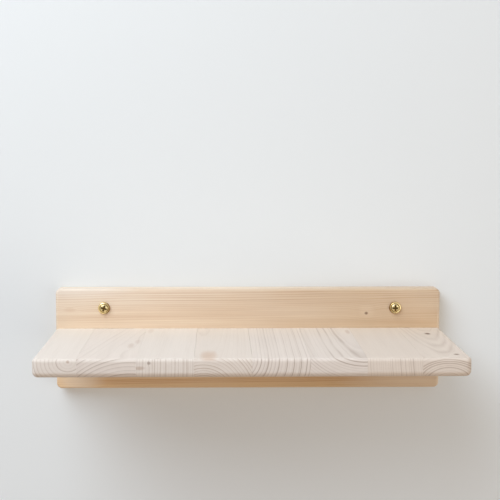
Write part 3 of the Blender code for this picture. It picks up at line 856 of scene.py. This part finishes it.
def metal(name, bright, dull, roughness, place=None, tarnish_and_shade=(), lean=(0.0, 0.0), recess=None):
    """Plated metal, with faint wear and fine turning marks.

    Where a place is given, a share of tarnishing and painted shade follows the distance from the axis
    along Y through it, by (distance in millimetres, share) stops, and grows by a lean across it, per
    millimetre on X and Z, which paints shade and reflection darker on one side. A recess, its roll, half
    width and reach, is the cross whose inside is painted dark as shade.
    """
    made, tree, shader = new_finish(name)
    shader.inputs["Metallic"].default_value = 1.0
    spot = tree.nodes.new("ShaderNodeTexCoord").outputs["Object"]
    wear = cloud(tree, spot, METAL_WEAR, 3.0, 3.0)
    haze = cloud(tree, spot, METAL_HAZE, 8.0)
    share = maths(tree, "MULTIPLY_ADD", wear, *PLAIN_WEAR)
    if place:
        wide = TARNISH_AND_SHADE_WIDE * MM
        flat = scaled(tree, spot, (1 / wide, 0, 1 / wide), (-place[0] / wide, 0, -place[2] / wide))
        stops = [(distance / TARNISH_AND_SHADE_WIDE, amount) for distance, amount in tarnish_and_shade]
        # Tarnish and painted shade by distance from the axis, and a lean that paints one side darker
        share = maths(tree, "MULTIPLY_ADD", wear, WEAR_ON_TARNISH_AND_SHADE, ramp(tree, span(tree, flat), stops))
        sides = tree.nodes.new("ShaderNodeSeparateXYZ")
        tree.links.new(flat, sides.inputs[0])
        share = maths(tree, "MULTIPLY_ADD", sides.outputs["X"], TARNISH_AND_SHADE_WIDE * lean[0], share)
        share = maths(tree, "MULTIPLY_ADD", sides.outputs["Z"], TARNISH_AND_SHADE_WIDE * lean[1], share)
    share = maths(tree, "MINIMUM", maths(tree, "MAXIMUM", share, 0.0), 1.0)
    colour = mixed(tree, share, bright, dull)
    if recess:
        roll, half, reach = recess
        inside = inside_cross(tree, flat, roll, half / wide, reach / wide)
        # Painted shade: the inside of the cross recess is darkened
        colour = mixed(tree, inside, colour, RECESS_PAINTED_SHADE)
        share = maths(tree, "MAXIMUM", share, inside)
    tree.links.new(colour, shader.inputs["Base Color"])
    rough = maths(tree, "MULTIPLY_ADD", share, DULL_ROUGH, roughness)
    tree.links.new(maths(tree, "MULTIPLY_ADD", haze, HAZE_ROUGH, rough), shader.inputs["Roughness"])
    raised(tree, haze, *METAL_RELIEF)
    return made


zinc = metal("zinc_plating", *ZINC, ZINC_ROUGHNESS)
for count, (low, high) in screw_boxes.items():
    place = on_axis(low, high, high.y)
    head = [(share * SHELF_SCREW_HEAD, 0) for share in SHELF_HEAD_FACE]
    head += [(SHELF_SCREW_HEAD, SHELF_SCREW_EASE), (SHELF_SCREW_HEAD, HEAD_EDGE)]
    skin = screw_skin(head, SHELF_SCREW_SHANK, high.y - low.y, *SHELF_SCREW_THREAD, place, -1)
    made = piece(f"long_screw_{count}", *skin, zinc, sharp=SCREW_SHARP, merge=True)
    roll = math.radians(ROLL_START + ROLL_STEP * count)
    recess_reach = SHELF_RECESS_SHARE * SHELF_SCREW_HEAD
    cross = cross_cutter(recess_reach, SHELF_RECESS_HALF, SHELF_SCREW_RECESS, roll, place, -1)
    bored(made, [cross], sharp=SCREW_SHARP)
    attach(made, "root")
    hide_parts(f"shelf_screw_{count}")

# Wall plugs. Two grey nylon plugs, pushed into the wall until just below its surface, ribbed against
# turning and split from below the collar so that the screw spreads them.
PLUG_BORE = 0.0033
PLUG_OUTER = 0.0050
PLUG_RIB = 0.0007
PLUG_EASE = 0.0002
PLUG_COLLAR = 0.0040
PLUG_RIBS = 7
PLUG_RIB_PITCH = 0.0055
PLUG_RIB_RISE = 0.0003
PLUG_RIB_SLOPE = 0.0018
PLUG_TAPER = 0.0020
PLUG_SLOT_START = 0.012
PLUG_SLOT = 0.0012
PLUG_SLOT_REACH = 0.010
PLUG_SIDES = 64
NYLON_STREAKS = (240, 60, 240)
NYLON_GRIT = (3000, 3000, 3000)
NYLON_RELIEF = (0.25, 0.00005)
NYLON_ROUGHNESS = 0.45
GRIT_ROUGH = 0.2
NYLON = (paint(150, 153, 156), paint(172, 175, 177))


def plug_profile(length):
    """(radius, height) round a plug's wall: collar, ribs like saw teeth, rounded tip, straight bore."""
    rim = PLUG_OUTER + PLUG_RIB
    tip = PLUG_OUTER - PLUG_RIB
    outside = [(rim - PLUG_EASE, 0), (rim, PLUG_EASE), (rim, PLUG_COLLAR / 2), (PLUG_OUTER, PLUG_COLLAR)]
    for rib in range(1, PLUG_RIBS + 1):
        height = PLUG_COLLAR + PLUG_RIB_PITCH * rib
        outside += [(PLUG_OUTER, height - PLUG_RIB_RISE), (rim, height)]
        outside += [(PLUG_OUTER, height + PLUG_RIB_SLOPE)]
    outside += [(PLUG_OUTER - PLUG_EASE, length - PLUG_TAPER), (tip, length - PLUG_EASE)]
    return outside + [(tip - PLUG_EASE, length), (PLUG_BORE, length), (PLUG_BORE, 0)]


nylon, tree, shader = new_finish("grey_nylon")
spot = tree.nodes.new("ShaderNodeTexCoord").outputs["Object"]
shade = maths(tree, "MULTIPLY_ADD", cloud(tree, spot, NYLON_STREAKS, 2.0, 3.0), 0.5, 0.5)
tree.links.new(mixed(tree, shade, *NYLON), shader.inputs["Base Color"])
grit = cloud(tree, spot, NYLON_GRIT, 4.0)
rough = maths(tree, "MULTIPLY_ADD", grit, GRIT_ROUGH, NYLON_ROUGHNESS)
tree.links.new(rough, shader.inputs["Roughness"])
raised(tree, grit, *NYLON_RELIEF)
for side in ("left", "right"):
    low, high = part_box(f"wall_plug_{side}")
    place = on_axis(low, high, low.y)
    rings = turned(plug_profile(high.y - low.y), PLUG_SIDES, place)
    made = piece(f"plug_{side}", *closed_skin(rings, loop=True), nylon)
    x, y, z = place
    across = x + PLUG_SLOT_REACH * np.array([-1, -1, 1, 1])
    upward = z + PLUG_SLOT / 2 * np.array([-1, 1, 1, -1])
    ends = np.array([y + PLUG_SLOT_START, high.y + OVERCUT])[:, None]
    slot = np.stack([across + 0 * ends, ends + 0 * across, upward + 0 * ends], axis=-1)
    bored(made, [closed_skin(slot)])
    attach(made, "root")
    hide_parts(f"wall_plug_{side}")

# Cup washers. Two turned brass cups under the wall screws, with a rounded flank, a narrow polished lip
# and a sloping seat for the head.
CUP_MOUTH = 0.0069
CUP_LIP = 0.0006
CUP_FLANK = 0.0019
CUP_EDGE = 0.0005
CUP_FLOOR = 0.0002
CUP_EASE = 0.0001
CUP_FLANK_STEPS = 12
CUP_SIDES = 96
# The lip's inner edge: how far outside the mouth and how far below the lip, in millimetres
CUP_LIP_EASE = ((0.12, 0.0), (0.03, 0.04), (-0.06, 0.14))
BRASS = (paint(240, 220, 166), paint(150, 118, 66))
CUP_ROUGHNESS = 0.16
# Tarnish and painted shade by distance from the axis in millimetres, darker in the seat under the head
# and towards the flank's foot at the board, and its lean to the right and upwards, which paints shade
# and reflection darker on one side
CUP_TARNISH_AND_SHADE = ((0, 0.30), (6.0, 0.30), (6.9, 0.0), (7.9, 0.05), (8.6, 0.25), (9.4, 0.5))
CUP_PAINTED_SHADE_LEAN = {"left": (0.10, -0.02), "right": (-0.10, 0.0)}


def cup_profile(height):
    """(radius, height) round a cup: flank over a quarter turn, eased lip, seat at about 45 degrees, bore."""
    rim = CUP_MOUTH + CUP_LIP
    turn = np.linspace(0, np.pi / 2, CUP_FLANK_STEPS + 1)
    foot = [(rim + CUP_FLANK - CUP_EASE, 0), (rim + CUP_FLANK, CUP_EASE)]
    flank = list(zip(rim + CUP_FLANK * np.cos(turn), CUP_EDGE + (height - CUP_EDGE) * np.sin(turn)))
    lip = [(CUP_MOUTH + MM * out, height - MM * down) for out, down in CUP_LIP_EASE]
    seat = [(WALL_SCREW_HOLE + CUP_EASE, CUP_FLOOR + CUP_EASE), (WALL_SCREW_HOLE, CUP_FLOOR)]
    return foot + flank + lip + seat + [(WALL_SCREW_HOLE, 0)]


for side in ("left", "right"):
    low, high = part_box(f"cup_washer_{side}")
    place = on_axis(low, high, high.y)
    brass = metal(f"cup_brass_{side}", *BRASS, CUP_ROUGHNESS, place, CUP_TARNISH_AND_SHADE, CUP_PAINTED_SHADE_LEAN[side])
    rings = turned(cup_profile(high.y - low.y), CUP_SIDES, place, -1)
    made = piece(f"cup_{side}", *closed_skin(rings, loop=True), brass)
    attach(made, "root")
    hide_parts(f"cup_washer_{side}")

# Wall screws. Two brass-plated screws with raised countersunk heads, through the cups and the board
# into the plugs. The left one's cross recess stopped at a slant, the right one's upright.
WALL_SCREW_THREAD = (0.0020, 0.0030, 0.0042)
WALL_SCREW_SHANK = 0.030
WALL_SCREW_HEAD = 0.0060
WALL_SCREW_DOME = 0.0016
WALL_SCREW_RECESS = 0.0034
# Where the dome's profile starts, in radians round its curve
DOME_START = 0.08
DOME_STEPS = 15
RECESS_ROLLS = {"left": math.radians(-16), "right": math.radians(1)}
RECESS_HALF = 0.00140
RECESS_REACH = 0.0048
HEAD_ROUGHNESS = 0.18
# Tarnish and painted shade on a head by distance from the axis in millimetres, darkest at its rim in the gap
# to the cup, and a lean that paints shade and reflection darker on one side
HEAD_TARNISH_AND_SHADE = ((0, 0.30), (3.0, 0.25), (4.6, 0.20), (5.6, 0.15), (6.0, 0.60))
HEAD_PAINTED_SHADE_LEAN = {"left": (-0.03, 0.03), "right": (0.03, -0.01)}

for side in ("left", "right"):
    low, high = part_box(f"wall_screw_{side}")
    place = on_axis(low, high, low.y)
    turn = np.linspace(DOME_START, np.pi / 2, DOME_STEPS + 1)
    head = list(zip(WALL_SCREW_HEAD * np.sin(turn), WALL_SCREW_DOME * (1 - np.cos(turn))))
    head += [(WALL_SCREW_HEAD, WALL_SCREW_DOME + HEAD_EDGE)]
    skin = screw_skin(head, WALL_SCREW_SHANK, high.y - low.y, *WALL_SCREW_THREAD, place, 1)
    roll = RECESS_ROLLS[side]
    recess = (roll, RECESS_HALF, RECESS_REACH)
    look = (HEAD_TARNISH_AND_SHADE, HEAD_PAINTED_SHADE_LEAN[side], recess)
    brass = metal(f"screw_brass_{side}", *BRASS, HEAD_ROUGHNESS, place, *look)
    made = piece(f"screw_{side}", *skin, brass, sharp=SCREW_SHARP, merge=True)
    cross = cross_cutter(RECESS_REACH, RECESS_HALF, WALL_SCREW_RECESS, roll, place, 1)
    bored(made, [cross], sharp=SCREW_SHARP)
    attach(made, "root")
    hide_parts(f"wall_screw_{side}")

# Wall, floor and light. The wall and the floor show only to the camera and in reflections, and only
# from their front, so that views from behind and below see the step lit like the others. The floor
# lies far below and mostly shines by itself, and soft lamps stand before, above and behind the step.
WALL_TONE = paint(236, 241, 242)
WALL_GAP = 0.0005
FLOOR_TONE = paint(232, 231, 228)
FLOOR_HEIGHT = -1.25
FLOOR_GLOW = 0.8
STAGE_REACH = 6.0
STAGE_ROUGHNESS = 0.9
STAGE_SPECULAR = 0.1
ROOM_TONE = paint(255, 242, 233)
ROOM_LIGHT = 0.447
ROOM_SEEN = paint(236, 237, 238)
# The lamps: place, target, side, power in watts and tone
LAMPS = {
    "key": ((-1.30, -1.60, 1.90), (-0.05, -0.10, 0.0), 2.2, 52, paint(233, 242, 255)),
    "above_left": ((-1.2, -0.5, 2.0), (0.0, -0.05, 0.0), 1.5, 15, paint(242, 254, 255)),
    "low_right": ((1.8, -2.0, -0.35), (0.05, -0.05, 0.0), 1.6, 13, paint(255, 246, 233)),
    "behind": ((0.6, 2.6, 0.0), (0.0, 0.0, 0.0), 1.6, 26, paint(255, 250, 244)),
}


def in_sight(tree):
    """1 for camera rays and for those mirrored or let through on their way, and 0 for others."""
    sight = tree.nodes.new("ShaderNodeLightPath")
    seen = maths(tree, "MAXIMUM", sight.outputs["Is Camera Ray"], sight.outputs["Is Glossy Ray"])
    return maths(tree, "MAXIMUM", seen, sight.outputs["Is Transmission Ray"])


def stage_sheet(name, corners, tone, glow=0.0):
    """A flat sheet that is seen from its front and lets all other light through.

    Its tone shines by itself as much as glow says, and the lamps light the rest.
    """
    made, tree, shader = new_finish(name)
    shader.inputs["Base Color"].default_value = (*[(1 - glow) * share for share in tone[:3]], 1.0)
    shader.inputs["Roughness"].default_value = STAGE_ROUGHNESS
    shader.inputs["Specular IOR Level"].default_value = STAGE_SPECULAR
    shader.inputs["Emission Color"].default_value = tone
    shader.inputs["Emission Strength"].default_value = glow
    front = maths(tree, "SUBTRACT", 1.0, tree.nodes.new("ShaderNodeNewGeometry").outputs["Backfacing"])
    clear = tree.nodes.new("ShaderNodeBsdfTransparent")
    mix = tree.nodes.new("ShaderNodeMixShader")
    tree.links.new(maths(tree, "MULTIPLY", in_sight(tree), front), mix.inputs[0])
    tree.links.new(clear.outputs[0], mix.inputs[1])
    tree.links.new(shader.outputs[0], mix.inputs[2])
    tree.links.new(mix.outputs[0], tree.nodes["Material Output"].inputs["Surface"])
    mesh = bpy.data.meshes.new(name)
    mesh.from_pydata(corners, [], [(0, 1, 2, 3)])
    mesh.materials.append(made)
    sheet = bpy.data.objects.new(name, mesh)
    bpy.context.scene.collection.objects.link(sheet)


def soft_lamp(name, place, target, size, power, tone):
    """A square area lamp that points from its place at a target."""
    lamp = bpy.data.lights.new(name, "AREA")
    lamp.shape = "SQUARE"
    lamp.size = size
    lamp.energy = power
    lamp.color = tone[:3]
    made = bpy.data.objects.new(name, lamp)
    away = Matrix.Translation(place).to_translation() - Matrix.Translation(target).to_translation()
    made.matrix_world = Matrix.Translation(place) @ away.to_track_quat("Z", "Y").to_matrix().to_4x4()
    bpy.context.scene.collection.objects.link(made)


foot_left = (-STAGE_REACH, WALL_GAP, FLOOR_HEIGHT)
foot_right = (STAGE_REACH, WALL_GAP, FLOOR_HEIGHT)
top_left = (-STAGE_REACH, WALL_GAP, STAGE_REACH)
top_right = (STAGE_REACH, WALL_GAP, STAGE_REACH)
near_left = (-STAGE_REACH, -STAGE_REACH, FLOOR_HEIGHT)
near_right = (STAGE_REACH, -STAGE_REACH, FLOOR_HEIGHT)
stage_sheet("wall", [foot_left, foot_right, top_right, top_left], WALL_TONE)
stage_sheet("floor", [near_left, near_right, foot_right, foot_left], FLOOR_TONE, FLOOR_GLOW)

world = bpy.data.worlds.new("pale_room")
bpy.context.scene.world = world
world.use_nodes = True
room = world.node_tree
backdrop = room.nodes["Background"]
backdrop.inputs["Color"].default_value = ROOM_TONE
backdrop.inputs["Strength"].default_value = ROOM_LIGHT
bright = room.nodes.new("ShaderNodeBackground")
bright.inputs["Color"].default_value = ROOM_SEEN
room_mix = room.nodes.new("ShaderNodeMixShader")
room.links.new(in_sight(room), room_mix.inputs[0])
room.links.new(backdrop.outputs[0], room_mix.inputs[1])
room.links.new(bright.outputs[0], room_mix.inputs[2])
room.links.new(room_mix.outputs[0], room.nodes["World Output"].inputs["Surface"])

for name, lamp in LAMPS.items():
    soft_lamp(name, *lamp)
